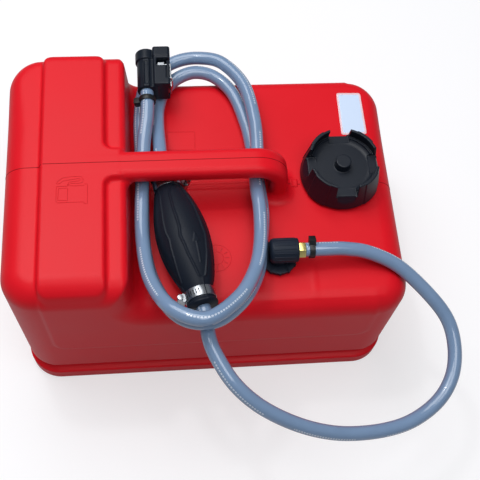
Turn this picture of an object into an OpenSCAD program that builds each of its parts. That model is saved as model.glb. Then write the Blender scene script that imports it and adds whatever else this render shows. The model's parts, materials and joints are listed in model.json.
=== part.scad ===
// Portable outboard fuel tank: a blow-moulded shell with a carrying handle, a castellated
// filler cap, a pickup fitting, a primer bulb and a fuel line that ends in a two-socket connector.
// Millimetres. +X runs along the tank's length, +Y to the back, +Z up, and the origin is the
// middle of the footprint.

/* [Tank shell] */
// Length of the shell
body_l = 366; // [340:2:400]
// Depth of the shell, front to back
body_w = 250; // [230:2:280]
// Height of the low deck
deck_h = 163; // [150:1:180]
// Plan radius of the four corners
corner_r = 30; // [24:1:36]
// Rounding of the top edges
edge_r = 22; // [16:1:26]
// Wall of the shell
wall_t = 4; // [3:0.5:6]

/* [Raised block and band] */
// Rise of the block over the deck
block_rise = 46; // [40:1:52]
// X of the foot of the block's wall
block_x = -70; // [-78:1:-66]
// Lean of that wall from foot to top
wall_lean = 4; // [2:0.5:6]
// Concave radius at the foot of the wall
fillet_r = 12; // [8:1:14]
// Left edge of the band
band_x = -149; // [-152:1:-140]
// Width of the band
band_w = 57; // [40:1:60]
// Rise of the band over the block
band_rise = 6; // [3:0.5:8]
// Rise of the panels on the front and back
panel_rise = 1.5; // [1:0.25:3]
// Lower edge of those panels
panel_z = 86; // [70:1:110]

/* [Foot] */
// Height of the foot
foot_h = 18; // [12:1:22]
// How far the foot stands out from the shell
foot_out = 2; // [0:0.5:4]
// Height of the groove over the foot
groove_h = 15; // [8:1:20]
// Depth of the groove
groove_d = 5; // [3:0.5:8]

/* [Handle] */
// Width of the handle, front to back
handle_w = 25; // [20:1:30]
// Thickness of the handle
handle_t = 16.5; // [14:0.5:16.5]
// Radius of the bend, at the middle of the handle
handle_bend = 23; // [16:1:26]
// X of the middle of the leg
leg_x = 67; // [60:1:75]

/* [Filler neck and cap] */
// X of the neck
neck_x = 129; // [118:1:134]
// Y of the neck
neck_y = 10; // [0:1:20]
// Outer diameter of the neck
neck_d = 52; // [46:1:54]
// Bore of the neck
neck_bore = 42; // [36:1:44]
// Height of the neck over the deck
neck_h = 15; // [12:1:18]
// Clearance round the neck inside the cap
cap_clear = 1; // [0.6:0.1:1.5]
// Diameter of the cap at its lower edge
cap_d = 77; // [74:1:82]
// Diameter of the cap at the tips of its walls
cap_tip_d = 66.6; // [64:0.2:70]
// Height of the walls over the cap's floor
castle_h = 14; // [10:1:18]
// Width of each notch between the walls
notch_w = 20; // [14:1:24]
// Wall of the cap
cap_t = 2.4; // [2:0.1:3]
// Thickness of the seal under the cap
gasket_t = 2; // [1.5:0.25:3]
// Diameter of the boss in the middle of the cap
boss_d = 13.8; // [13:0.2:16]
// Height of that boss
boss_h = 9; // [8:0.5:12]

/* [Pickup] */
// X of the pickup
pickup_x = 61.5; // [58:0.5:64]
// Y of the pickup
pickup_y = -76; // [-84:1:-70]
// Diameter of the round nut on the deck
nut_d = 33; // [30:1:36]
// Diameter of the horizontal barrel
barrel_d = 22; // [20:0.5:24]
// Bore in the deck under the pickup
pickup_bore = 18; // [16:0.5:19]
// Gap between the strainer and the floor of the tank
strainer_gap = 6; // [4:1:10]

/* [Fuel hose] */
// Outer diameter of the hose
hose_d = 13; // [11:0.5:13]
// Bore of the hose
hose_bore = 8; // [7:0.5:9]

/* [Primer bulb] */
// Length of the bulb
bulb_len = 136; // [132:1:140]
// Largest diameter of the bulb
bulb_d = 46.5; // [42:0.5:46.5]
// Diameter of its necks
bulb_neck_d = 26; // [25:0.5:26.5]
// Wall of the bulb
bulb_t = 3; // [2.5:0.25:4]

/* [Connector] */
// Length of the connector
conn_l = 44; // [40:1:48]
// Diameter of the fuel lobe
lobe_d = 18; // [17:0.5:19]
// Width of the latch box
box_w = 15.5; // [14.5:0.5:17]
// Height of the latch box
box_h = 26; // [24:0.5:27]
// Bore of the fuel socket
socket_bore = 9.5; // [9:0.25:10]
// Bore of the pin socket
pin_bore = 8; // [7:0.25:8.5]
// Bore behind it, for the slimmer nose of the engine's pin
nose_bore = 5.8; // [5:0.2:6.2]

/* [Hidden] */
$fn = 64;
eps = 0.01;
hair = 0.3;                           // gap kept between pieces that lie on each other

red = [0.88, 0.20, 0.23];
black = [0.11, 0.13, 0.16];
rubber = [0.07, 0.07, 0.08];
hose_grey = [0.49, 0.57, 0.67];
brass = [0.80, 0.72, 0.45];
steel = [0.72, 0.73, 0.75];

block_h = deck_h + block_rise;
band_h = block_h + band_rise;
base_top = foot_h + groove_h;         // where the shell proper starts
neck_top = deck_h + neck_h;
cap_under = neck_top + gasket_t;      // underside of the cap's floor
cap_floor = cap_under + 3;            // top of the cap's floor
cap_low = deck_h + 3.3;               // lower edge of the cap's skirt
cap_tip = cap_floor + castle_h;

// ---------- shared shapes ----------

function arc(cx, cy, r, a0, a1, n) =
    [for (i = [0:n]) let (a = a0 + (a1 - a0) * i / n) [cx + r * cos(a), cy + r * sin(a)]];

module rounded_rect(l, w, r) {
    square([l - 2 * r, w], center = true);
    square([l, w - 2 * r], center = true);
    for (x = [-1, 1], y = [-1, 1])
        translate([x * (l / 2 - r), y * (w / 2 - r)]) circle(r);
}

// A closed skin through rings of points that all have the same count.
module skin(rings) {
    n = len(rings[0]);
    last = len(rings) - 1;
    side = [for (i = [0:last - 1], j = [0:n - 1])
                let (a = i * n + j, b = i * n + (j + 1) % n)
                    each [[a, b, b + n], [a, b + n, a + n]]];
    polyhedron(points = [for (ring = rings, p = ring) p],
               faces = concat([[for (j = [n - 1:-1:0]) j]], side, [[for (j = [0:n - 1]) last * n + j]]));
}

// A point on the smooth curve through a route's points, s = 0 at the first of the four.
function spline_point(p0, p1, p2, p3, s) =
    0.5 * (2 * p1 + (p2 - p0) * s + (2 * p0 - 5 * p1 + 4 * p2 - p3) * s * s
           + (3 * p1 - p0 - 3 * p2 + p3) * s * s * s);

// The curve through all the points of a route, with a given number of steps between two of them.
function smooth_route(p, steps) =
    let (n = len(p) - 1)
        concat([for (i = [0:n - 1], k = [0:steps - 1])
                    spline_point(p[max(i - 1, 0)], p[i], p[i + 1], p[min(i + 2, n)], k / steps)],
               [p[n]]);

function unit(v) = v / norm(v);
function heading(p, i) = unit(p[min(i + 1, len(p) - 1)] - p[max(i - 1, 0)]);

// A tube along a route. Its rings stay level, so it doesn't twist. Its corners stand 4% proud,
// which gives its few sides the bulk of a round hose.
module tube_along(p, d, sides) {
    skin([for (i = [0:len(p) - 1])
              let (t = heading(p, i), u = unit(cross([0, 0, 1], t)), v = cross(t, u))
                  [for (k = [0:sides - 1])
                       let (a = -360 * (k + 0.5) / sides)
                           p[i] + d / 2 * 1.04 * (cos(a) * u + sin(a) * v)]]);
}

function route_length(p, i = 0) =
    i >= len(p) - 1 ? 0 : norm(p[i + 1] - p[i]) + route_length(p, i + 1);

// Least gap between a tube's stretches that are at least five rings apart.
function to_segment(p, a, b) =
    let (t = max(0, min(1, (p - a) * (b - a) / ((b - a) * (b - a))))) norm(p - a - t * (b - a));
function self_gap(p, d) =
    min([for (i = [0:len(p) - 1], j = [0:len(p) - 2])
             if (abs(j - i) > 4) to_segment(p[i], p[j], p[j + 1])]) - d;

// A compression spring of round wire about +Z.
module coil_spring(r, wire, height, turns) {
    rings = turns * 8;
    path = [for (i = [0:rings]) let (a = 45 * i)
                [r * cos(a), r * sin(a), wire / 2 + (height - wire) * i / rings]];
    skin([for (i = [0:rings])
              let (a = 45 * i, out = [cos(a), sin(a), 0])
                  [for (k = [0:5]) let (b = 60 * k)
                       path[i] + wire / 2 * (cos(b) * out + sin(b) * [0, 0, 1])]]);
}

// ---------- tank ----------

// Height of a top that is rounded over at the end of the tank, d from that end.
function end_height(top, d, r) = top - r + sqrt(r * r - pow(max(r - d, 0), 2));
// Half the depth of the tank, d from its end.
function end_half(half, d, r) = half - r + sqrt(r * r - pow(max(r - d, 0), 2));

// One upright section of the tank at x: half depth, top, panel rise, start height and inset there.
// It starts low on the front, runs over the top and ends low on the back.
function tank_section(x, half, top, rise, low, under, r) =
    let (side = concat([[half - under, low], [half, low + under],
                        [half, panel_z - 3], [half + rise, panel_z + 3]],
                       arc(half + rise - r, top - r, r, 0, 90, 5)),
         n = len(side) - 1)
        concat([for (p = side) [x, -p[0], p[1]]],
               [for (i = [n:-1:0]) [x, side[i][0], side[i][1]]]);

// The tank's sections from left to right. An inset of a wall gives the cavity.
module tank_form(inset, low, rise, band) {
    l = body_l / 2 - inset;
    half = body_w / 2 - inset;
    r = corner_r - inset;
    e = edge_r - inset;
    block = block_h - inset;
    deck = deck_h - inset;
    wall_top = block_x - wall_lean - inset;
    top_r = 12 - inset;
    foot_r = fillet_r + inset;
    steps = [for (a = [0:18:90]) r * (1 - cos(a))];
    left = [for (d = steps) [-l + d, end_half(half, d, r), end_height(block, d, e), 0]];
    right = [for (i = [len(steps) - 1:-1:0]) let (d = steps[i])
                 [l - d, end_half(half, d, r), end_height(deck, d, e), d == r ? rise : 0]];
    strap = [[band_x - 2, half, block, 0], [band_x + 2, half, block + band, rise],
             [band_x + band_w - 2, half, block + band, rise], [band_x + band_w + 1, half, block, rise]];
    shoulder = [for (p = arc(wall_top - top_r, block - top_r, top_r, 90, 10, 4))
                    [p[0], half, p[1], rise]];
    foot = [for (p = arc(block_x - inset + foot_r, deck + foot_r, foot_r, 190, 270, 4))
                [p[0], half, p[1], rise]];
    stations = concat(left, strap, shoulder, foot, right);
    skin([for (s = stations) tank_section(s[0], s[1], s[2], s[3], low, inset > 0 ? 1 : 3, e)]);
}

module handle_section() rounded_rect(handle_t, handle_w, 6.5);

module handle() {
    bar_z = band_h - handle_t / 2;
    bend_x = leg_x - handle_bend;
    bend_z = bar_z - handle_bend;
    start = band_x + band_w - 4;
    translate([start, 0, bar_z]) rotate([0, 90, 0]) linear_extrude(bend_x - start) handle_section();
    translate([bend_x, 0, bend_z]) rotate([90, 0, 0]) rotate_extrude(angle = 90)
        translate([handle_bend, 0]) handle_section();
    translate([leg_x, 0, deck_h - wall_t / 2]) linear_extrude(bend_z - deck_h + wall_t / 2)
        handle_section();
    // flare where the leg grows out of the deck
    hull() {
        translate([leg_x, 0, deck_h - 1]) linear_extrude(0.5, $fn = 32)
            rounded_rect(handle_t + 10, handle_w + 12, 11);
        translate([leg_x, 0, deck_h + 10]) linear_extrude(0.5, $fn = 32)
            rounded_rect(handle_t - 0.2, handle_w - 0.2, 6.4);
    }
}

module tank_body() color(red) {
    lower_inset = groove_d + wall_t;
    difference() {
        union() {
            tank_form(0, base_top - 1, panel_rise, band_rise);
            linear_extrude(foot_h) rounded_rect(body_l + 2 * foot_out, body_w + 2 * foot_out,
                                                corner_r + foot_out);
            translate([0, 0, foot_h - 1]) linear_extrude(groove_h + 2)
                rounded_rect(body_l - 2 * groove_d, body_w - 2 * groove_d, corner_r - groove_d);
            handle();
            translate([neck_x, neck_y, deck_h - wall_t / 2]) cylinder(d = neck_d, h = neck_h + wall_t / 2);
            translate([pickup_x, pickup_y, deck_h - wall_t - 6]) cylinder(d = pickup_bore + 8, h = wall_t + 7);
        }
        difference() {
            union() {
                tank_form(wall_t, base_top + wall_t, 0, 0);
                translate([0, 0, wall_t]) linear_extrude(base_top + 1)
                    rounded_rect(body_l - 2 * lower_inset, body_w - 2 * lower_inset,
                                 corner_r - lower_inset + 1);
            }
            translate([pickup_x, pickup_y, deck_h - wall_t - 6]) cylinder(d = pickup_bore + 8, h = wall_t + 7);
        }
        translate([neck_x, neck_y, deck_h - wall_t - 2]) cylinder(d = neck_bore, h = neck_h + wall_t + 4);
        translate([pickup_x, pickup_y, deck_h - wall_t - 8]) cylinder(d = pickup_bore, h = wall_t + 12);
    }
}

// ---------- filler cap and its vent ----------

chamber_d = boss_d - 4.8;             // vent chamber inside the boss
chamber_top = cap_floor + boss_h - 2;
retainer_t = 1.6;

function cap_r(z) = (cap_d + (cap_tip_d - cap_d) * (z - cap_low) / (cap_tip - cap_low)) / 2;

module at_neck() translate([neck_x, neck_y, 0]) children();

module filler_cap() color(black) at_neck() {
    sleeve_r = neck_d / 2 + cap_clear;
    difference() {
        union() {
            // skirt, floor and castle walls in one turn
            rotate_extrude()
                polygon([[cap_r(cap_low) - cap_t, cap_low], [cap_r(cap_low), cap_low],
                         [cap_r(cap_tip), cap_tip], [cap_r(cap_tip) - cap_t, cap_tip],
                         [cap_r(cap_floor) - cap_t - 1.5, cap_floor + 1], [cap_r(cap_floor) - 8, cap_floor],
                         [0, cap_floor], [0, cap_under], [cap_r(cap_under) - cap_t, cap_under]]);
            // threaded sleeve
            difference() {
                translate([0, 0, cap_low + 1.5]) cylinder(r = sleeve_r + cap_t, h = cap_under - cap_low - 1);
                translate([0, 0, cap_low]) cylinder(r = sleeve_r, h = cap_under - cap_low);
            }
            translate([0, 0, cap_floor - 1]) cylinder(d = boss_d, h = boss_h + 1);
            // outer ribs that the hand turns the cap by
            for (a = [22.5:15:352.5])
                if (abs((a + 45) % 90 - 45) > 18)
                    rotate([0, 0, a]) rib();
        }
        // notches between the walls, with a bevelled lip
        for (a = [0:90:270]) rotate([0, 0, a]) {
            translate([cap_r(cap_floor) - 9, -notch_w / 2, cap_floor]) cube([20, notch_w, castle_h + 5]);
            translate([cap_r(cap_floor) - 2.2, -notch_w * 0.375, cap_floor]) rotate([0, 45, 0])
                cube([12, notch_w * 0.75, 12]);
        }
        translate([0, 0, cap_under - 1]) cylinder(d = chamber_d, h = chamber_top - cap_under + 1);
    }
}

// A low wedge on the skirt that follows its taper.
module rib() {
    intersection() {
        rotate_extrude()
            polygon([[cap_r(cap_low) - 1, cap_low], [cap_r(cap_low) + 0.8, cap_low],
                     [cap_r(cap_tip - 2) + 0.8, cap_tip - 2], [cap_r(cap_tip - 2) - 1, cap_tip - 2]]);
        translate([cap_tip_d / 2 - 4, -1, cap_low]) cube([14, 2, cap_tip]);
    }
}

module cap_gasket() color(rubber) at_neck() translate([0, 0, neck_top]) difference() {
    cylinder(d = neck_d, h = gasket_t);
    translate([0, 0, -1]) cylinder(d = neck_bore, h = gasket_t + 2);
}

poppet_z = chamber_top - 1.9;

module vent_poppet() color(black) at_neck() {
    translate([0, 0, poppet_z]) cylinder(d = chamber_d - 1.6, h = 1.6);
    translate([0, 0, cap_under - 0.6]) cylinder(d = 1.8, h = poppet_z - cap_under + 1);
}

module vent_retainer() color(black) at_neck() translate([0, 0, cap_under]) difference() {
    cylinder(d = chamber_d, h = retainer_t);
    translate([0, 0, -1]) cylinder(d = 2.4, h = retainer_t + 2);
    for (a = [0:60:300]) rotate([0, 0, a]) translate([chamber_d / 4 + 0.9, 0, -1])
        cylinder(d = 1.1, h = retainer_t + 2);
}

module vent_spring() color(steel) at_neck() translate([0, 0, cap_under + retainer_t])
    coil_spring(chamber_d / 2 - 1.3, 0.5, poppet_z - cap_under - retainer_t, 4);

// ---------- pickup ----------

elbow_z = deck_h + 19.5;              // height of the barrel's axis
barrel_x0 = pickup_x - 9.5;
barrel_x1 = pickup_x + 16;
hose_start = barrel_x1 + 6.5;

module at_pickup(z) translate([pickup_x, pickup_y, z]) children();
module along_x(x) translate([x, pickup_y, elbow_z]) rotate([0, 90, 0]) children();

module pickup_gasket() color(rubber) at_pickup(deck_h + 1) difference() {
    cylinder(d = nut_d - 4, h = 1.5);
    translate([0, 0, -1]) cylinder(d = pickup_bore, h = 4);
}

module pickup_nut() color(black) at_pickup(deck_h + 2.5) difference() {
    union() {
        cylinder(d = nut_d, h = 3.5);
        for (a = [0:30:330]) rotate([0, 0, a]) translate([nut_d / 2 - 0.6, -1, 0]) cube([1.4, 2, 3.5]);
    }
    translate([0, 0, -1]) cylinder(d = pickup_bore - 1, h = 6);
}

module pickup_elbow() color(black) difference() {
    union() {
        at_pickup(deck_h - 12) cylinder(d = pickup_bore - 1.4, h = elbow_z - deck_h + 12);
        // shoulder that the nut carries
        at_pickup(deck_h + 6) cylinder(d = pickup_bore, h = elbow_z - deck_h - 8);
        along_x(barrel_x0) rotate_extrude()
            polygon(concat([[0, 0]], arc(barrel_d / 2 - 3, 3, 3, -90, 0, 6),
                           arc(barrel_d / 2 - 1.2, barrel_x1 - barrel_x0 - 1.2, 1.2, 0, 90, 4),
                           [[0, barrel_x1 - barrel_x0]]));
        // grip flutes along the barrel
        for (a = [0:20:340]) along_x(barrel_x0 + 3) rotate([0, 0, a])
            translate([barrel_d / 2 - 0.2, 0, 0]) cylinder(d = 1.2, h = barrel_x1 - barrel_x0 - 6, $fn = 16);
    }
    at_pickup(deck_h - 13) cylinder(d = 8, h = elbow_z - deck_h + 13);
    along_x(pickup_x) cylinder(d = 8, h = barrel_x1 - pickup_x + 1);
}

tube_low = wall_t + strainer_gap + 14;

module pickup_tube() color(black) at_pickup(0) difference() {
    translate([0, 0, tube_low]) cylinder(d = 10, h = deck_h - 12 - tube_low);
    translate([0, 0, tube_low - 1]) cylinder(d = 7, h = deck_h);
}

// A slotted cage on the lower end of the tube.
module strainer() color(black) at_pickup(wall_t + strainer_gap) difference() {
    union() {
        cylinder(d = 16, h = 14);
        translate([0, 0, 14 - eps]) cylinder(d = 13, h = 8);
    }
    translate([0, 0, 2]) cylinder(d = 12.5, h = 12);
    translate([0, 0, 13]) cylinder(d = 10, h = 12);
    for (a = [0:45:315]) rotate([0, 0, a]) translate([4, -1.2, 3.5]) cube([8, 2.4, 8]);
}

// Brass nipple: hexagon outside the barrel, ridged tail inside the hose.
module hose_barb() color(brass) difference() {
    union() {
        along_x(barrel_x1) rotate([0, 0, 30]) cylinder(d = 15.5, h = hose_start - barrel_x1, $fn = 6);
        along_x(barrel_x1 - 9) cylinder(d = 8, h = 10);
        along_x(hose_start - 1) cylinder(d = hose_bore, h = 19);
        for (i = [0:2]) along_x(hose_start + 2 + 5 * i)
            cylinder(d1 = hose_bore + 1.2, d2 = hose_bore, h = 4);
    }
    along_x(barrel_x1 - 10) cylinder(d = 5, h = 40);
}

// A cable tie about +Z, its head at +X.
module cable_tie() difference() {
    bore = hose_d + 0.8;
    union() {
        cylinder(d = bore + 2.4, h = 4.8);
        translate([hose_d / 2, -3.6, -0.6]) cube([6, 7.2, 6]);
    }
    translate([0, 0, -1]) cylinder(d = bore, h = 8);
}

module barb_tie() color(black) along_x(hose_start + 3.5) rotate([0, 0, 150]) cable_tie();

// ---------- hose routes ----------

// From the barb, out over the right end, round in front of the tank and up to the bulb's lower neck.
tank_route = [[84, -76, 182.5], [104, -76, 182.5], [122, -76, 181], [144, -79, 177], [171, -90, 168.5],
              [198, -113, 156], [216, -135, 144], [221, -159, 135], [216, -184, 129], [201, -205, 124],
              [176, -221, 122], [148, -229, 124], [114, -232, 131], [85, -230, 142], [57, -223, 155],
              [31, -211, 168], [11, -194, 179], [-3, -171, 187], [-8, -155, 189.5]];

// From the bulb's upper neck, twice round the deck and under the handle, and out to the connector.
engine_route = [[-43, 40, 180], [-44, 65, 175], [-43, 88, 171], [-37, 108, 171], [-24, 122, 173],
                [-5, 129, 174], [15, 124, 172], [32, 104, 170.5], [42, 70, 170], [46, 40, 170],
                [49, 0, 170], [50, -33, 172], [45, -68, 176.5], [39, -98, 184], [23, -127, 194.5],
                [-3, -148, 204.5], [-31, -142, 202], [-51, -108, 186], [-60, -66, 173], [-61, -14, 171.5],
                [-61, 40, 171.5], [-61, 76, 171.5], [-56, 112, 171.5], [-41, 133, 172], [-20, 145, 173],
                [2, 146, 175], [23, 136, 179], [42, 106, 183], [49, 66, 184.5], [49, 30, 184.5],
                [45, -3, 184.5], [46, -37, 187], [43, -72, 191.5], [35, -102, 200.5], [18, -131, 212],
                [-10, -151, 219.5], [-38, -139, 215.5], [-55, -106, 200], [-61, -63, 187.5], [-61, -22, 185.5],
                [-58, 34, 187], [-54, 64, 191.5]];

// ---------- primer bulb ----------

bulb_turn = 12;                       // degrees from +Y towards -X
bulb_tilt = 2.5;                      // degrees down towards the handle
bulb_mid = [-25, -63, deck_h + bulb_d / 2 + 0.5];
bulb_dir = [-sin(bulb_turn) * cos(bulb_tilt), cos(bulb_turn) * cos(bulb_tilt), -sin(bulb_tilt)];
bulb_low = bulb_mid - bulb_dir * bulb_len / 2;
bulb_high = bulb_mid + bulb_dir * bulb_len / 2;

module on_bulb(s) translate(bulb_low) rotate([0, 0, bulb_turn]) rotate([-90 - bulb_tilt, 0, 0])
    translate([0, 0, s]) children();

neck_len = 16;
valve_len = 18;
valve_d = bulb_neck_d - 2 * bulb_t - 1; // bore of the necks
ball_d = 8;

// Radius of the bulb at s from its lower end.
function bulb_r(s) =
    let (t = (s - neck_len) / (bulb_len - 2 * neck_len))
        t <= 0 || t >= 1 ? bulb_neck_d / 2
                         : bulb_neck_d / 2 + (bulb_d - bulb_neck_d) / 2 * pow(sin(180 * t), 0.9);

module primer_bulb() color(rubber) on_bulb(0) {
    stops = [for (i = [0:12]) neck_len + (bulb_len - 2 * neck_len) * i / 12];
    rotate_extrude()
        polygon(concat([[valve_d / 2, 0], [bulb_neck_d / 2 - 1, 0], [bulb_neck_d / 2, 1]],
                       [for (s = stops) [bulb_r(s), s]],
                       [[bulb_neck_d / 2, bulb_len - 1], [bulb_neck_d / 2 - 1, bulb_len],
                        [valve_d / 2, bulb_len]],
                       [for (i = [11:-1:1]) [max(bulb_r(stops[i]) - bulb_t, valve_d / 2), stops[i]]]));
}

// Valve body in a neck: seat and cage for the ball inside, nipple for the hose outside.
// Its own +Z runs with the fuel; the hose is on the far side for the outlet.
module valve_body(tail) {
    difference() {
        union() {
            cylinder(d = valve_d, h = valve_len);
            translate([0, 0, tail]) cylinder(d = hose_bore, h = 16);
        }
        translate([0, 0, -20]) cylinder(d = 5, h = 60);
        translate([0, 0, 7]) cylinder(d = ball_d + 0.6, h = ball_d + 1.8);
        translate([0, 0, 3.6]) cylinder(d1 = 5, d2 = ball_d + 0.6, h = 3.41);
        // cross slots that let the fuel past a lifted ball
        for (a = [0, 90]) rotate([0, 0, a]) translate([-1.2, -3.6, 16]) cube([2.4, 7.2, 1.4]);
    }
}

module bulb_inlet() color(black) on_bulb(hair) valve_body(-15.9);
module bulb_outlet() color(black) on_bulb(bulb_len - valve_len - hair) valve_body(valve_len - 0.1);

ball_seat = 7.7;                      // centre of a seated ball over the foot of its valve body
module inlet_ball() color(steel) on_bulb(hair + ball_seat) sphere(d = ball_d);
module outlet_ball() color(steel) on_bulb(bulb_len - valve_len - hair + ball_seat) sphere(d = ball_d);

clamp_w = 9;
band_t = 0.6;
clamp_s = [6, bulb_len - 6 - clamp_w];

// The worm housing faces left on the lower neck and right on the upper one.
module clamp_turn(s) rotate([0, 0, s == clamp_s[0] ? 185 : 15]) children();

module clamp_bands() color(steel) for (s = clamp_s) on_bulb(s) difference() {
    union() {
        cylinder(d = bulb_neck_d + 2 * band_t, h = clamp_w);
        clamp_turn(s) translate([bulb_neck_d / 2 + band_t / 2, -5, 0.5]) cube([2.2, 10, clamp_w - 1]);
    }
    translate([0, 0, -1]) cylinder(d = bulb_neck_d, h = clamp_w + 2);
}

module clamp_screws() color(steel) for (s = clamp_s) on_bulb(s) clamp_turn(s)
    translate([bulb_neck_d / 2 + band_t / 2 + 4.7, 0, clamp_w / 2]) rotate([90, 0, 0]) difference() {
        union() {
            translate([0, 0, -7]) cylinder(d = 5, h = 12);
            translate([0, 0, 5]) cylinder(d = 6, h = 3.4, $fn = 6);
        }
        translate([-0.5, -4, 7.2]) cube([1, 8, 3]);
    }

// ---------- hoses ----------

function straight_end(p, dir, l) = p + dir * l;

tank_path = smooth_route(concat(tank_route, [straight_end(bulb_low, -bulb_dir, 13), bulb_low]), 1);
conn_x = -53;
conn_z = 193;
conn_y = 93;
conn_in = [conn_x, conn_y - 0.5, conn_z];
engine_path = smooth_route(concat([bulb_high, straight_end(bulb_high, bulb_dir, 13)], engine_route,
                                  [straight_end(conn_in, [0, -1, 0], 13), conn_in]), 2);

module tank_hose() color(hose_grey) tube_along(tank_path, hose_d, 8);
module engine_hose() color(hose_grey) tube_along(engine_path, hose_d, 6);

// ---------- connector ----------

module along_y(x, y) translate([x, y, conn_z]) rotate([-90, 0, 0]) children();

conn_back = conn_y + conn_l;
box_x = conn_x + lobe_d / 2 - 2;      // left face of the latch box
box_end = box_x + box_w;              // right face of the latch box
pin_x = box_x + box_w / 2;
socket_depth = 16;
valve_bore = 11;
seal_t = 2;
valve_travel = 3;
latch_slot_y = conn_back - 17;
latch_slot_low = latch_slot_y - 1.2;
latch_slot_end = latch_slot_y + 3.8;  // the pin socket runs from here to the back
pivot_y = conn_y + 9;
pivot_x = box_end + hair + 0.6;      // axis of the latch pin, just outside the box
arm_t = 1.2;
arm_h = 12.4;

module connector_body() color(black) difference() {
    union() {
        along_y(conn_x, conn_y) cylinder(d = lobe_d, h = conn_l);
        // wide head at the engine end
        along_y(conn_x, conn_back - 11) cylinder(d = lobe_d + 3, h = 11);
        // long flat rib on top of the fuel lobe
        translate([conn_x - 3, conn_y, conn_z]) cube([6, conn_l - 12, lobe_d / 2 + 1]);
        translate([conn_x, conn_y, conn_z - lobe_d / 2 + 1]) cube([box_x - conn_x + 2, conn_l, lobe_d - 2]);
        translate([box_x, conn_y, conn_z - box_h / 2]) cube([box_w, conn_l, box_h]);
        translate([box_x - 1, conn_back - 11, conn_z - box_h / 2 - 0.8]) cube([box_w + 1.8, 11, box_h + 1.6]);
        // nipple inside the hose
        along_y(conn_x, conn_y - 18) cylinder(d = hose_bore, h = 20);
        // lugs of the latch pin
        for (s = [-1, 1]) translate([box_end - 0.6, pivot_y, conn_z + s * 8.6 - 1.6])
            cylinder(d = 6, h = 3.2);
    }
    // fuel way: socket, seal groove, valve chamber, nipple
    along_y(conn_x, conn_back - socket_depth) cylinder(d = socket_bore, h = socket_depth + 1);
    along_y(conn_x, conn_back - socket_depth) cylinder(d = valve_bore + 1, h = seal_t + hair);
    along_y(conn_x, conn_y + 6) cylinder(d = valve_bore, h = conn_l - socket_depth - 5.9);
    along_y(conn_x, conn_y - 19) cylinder(d = 5, h = 30);
    // pin socket, the bore for the pin's nose, and the slot between them that the latch plate crosses
    along_y(pin_x, latch_slot_end - 1) cylinder(d = pin_bore, h = conn_back - latch_slot_end + 2);
    along_y(pin_x, conn_back - 26) cylinder(d = nose_bore, h = latch_slot_low - conn_back + 27);
    translate([box_x + 1.8, latch_slot_low, conn_z - 8])
        cube([box_w, latch_slot_end - latch_slot_low, 16]);
    // window over the latch plate
    translate([pin_x - 5, latch_slot_end - 9, conn_z]) cube([10, 9, box_h]);
    // room for the latch pin, the latch barrel and the thumb end of the arm
    translate([pivot_x, pivot_y, conn_z - 12]) cylinder(d = 2.1, h = 24);
    translate([pivot_x, pivot_y, conn_z - arm_h / 2 - hair]) cylinder(d = 4.8, h = arm_h + 2 * hair);
    translate([box_end - 1.6, conn_y - 1, conn_z - arm_h / 2 - hair])
        cube([3, pivot_y - conn_y + 1, arm_h + 2 * hair]);
}

// Ring that seals on the engine's fuel barb.
module socket_seal() color(rubber) along_y(conn_x, conn_back - socket_depth + 0.15) difference() {
    cylinder(d = valve_bore + 0.8, h = seal_t);
    translate([0, 0, -1]) cylinder(d = socket_bore - 1.5, h = 5);
}

valve_face = conn_back - socket_depth - hair;

module socket_valve() color(black) along_y(conn_x, valve_face - 4) {
    cylinder(d = valve_bore - 1, h = 4);
    translate([0, 0, -5]) cylinder(d = 3, h = 6);
    translate([0, 0, 3.9]) cylinder(d = socket_bore - 3, h = 2.6);
}

plug_t = 2.5;
module valve_spring() color(steel) along_y(conn_x, conn_y + 6 + plug_t)
    coil_spring(valve_bore / 2 - 1.6, 0.8, valve_face - 4 - conn_y - 6 - plug_t, 5);

// Perforated seat that the valve spring stands on.
module socket_plug() color(black) along_y(conn_x, conn_y + 6) difference() {
    cylinder(d = valve_bore, h = plug_t);
    for (a = [0:90:270]) rotate([0, 0, a]) translate([2.2, 0, -1]) cylinder(d = 1.6, h = 5);
}

// Steel latch: an arm on the outside of the box, turned in at its end to a plate with a slot
// that drops behind the shoulder of the engine's pin.
module latch() color(steel) difference() {
    union() {
        translate([pivot_x - arm_t / 2, conn_y + 1.5, conn_z - arm_h / 2])
            cube([arm_t, latch_slot_y - conn_y - 0.1, arm_h]);
        translate([box_x + 2.4, latch_slot_y + 0.2, conn_z - arm_h / 2])
            cube([pivot_x - box_x - 2.4, arm_t, arm_h]);
        translate([pivot_x, pivot_y, conn_z - arm_h / 2]) cylinder(d = 4, h = arm_h);
    }
    translate([pivot_x, pivot_y, conn_z - 8]) cylinder(d = 2.1, h = 16);
    // slot whose closed end reaches 1 mm into the way of the pin's nose until the thumb end is pressed
    along_y(pin_x - 1.4, latch_slot_y - 1) {
        cylinder(d = nose_bore + 0.8, h = 4);
        translate([-9, -nose_bore / 2 - 0.4, 0]) cube([9, nose_bore + 0.8, 4]);
    }
}

module latch_pin() color(steel) translate([pivot_x, pivot_y, conn_z - 10]) cylinder(d = 2, h = 20);

// Bowed leaf in the pocket under the thumb end.
module latch_spring() color(steel) translate([box_end - 1.5, conn_y + 0.8, conn_z - 3.5])
    linear_extrude(7) polygon([[0, 0], [0.7, 2], [0.7, 3], [0, 5], [0.5, 5], [1.15, 3], [1.15, 2], [0.5, 0]]);

module connector_tie() color(black) along_y(conn_x, conn_y - 12.5) rotate([0, 0, 165]) cable_tie();

echo(tank_hose_length = route_length(tank_path), engine_hose_length = route_length(engine_path));
echo(engine_hose_self_gap = self_gap(engine_path, hose_d));

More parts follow.
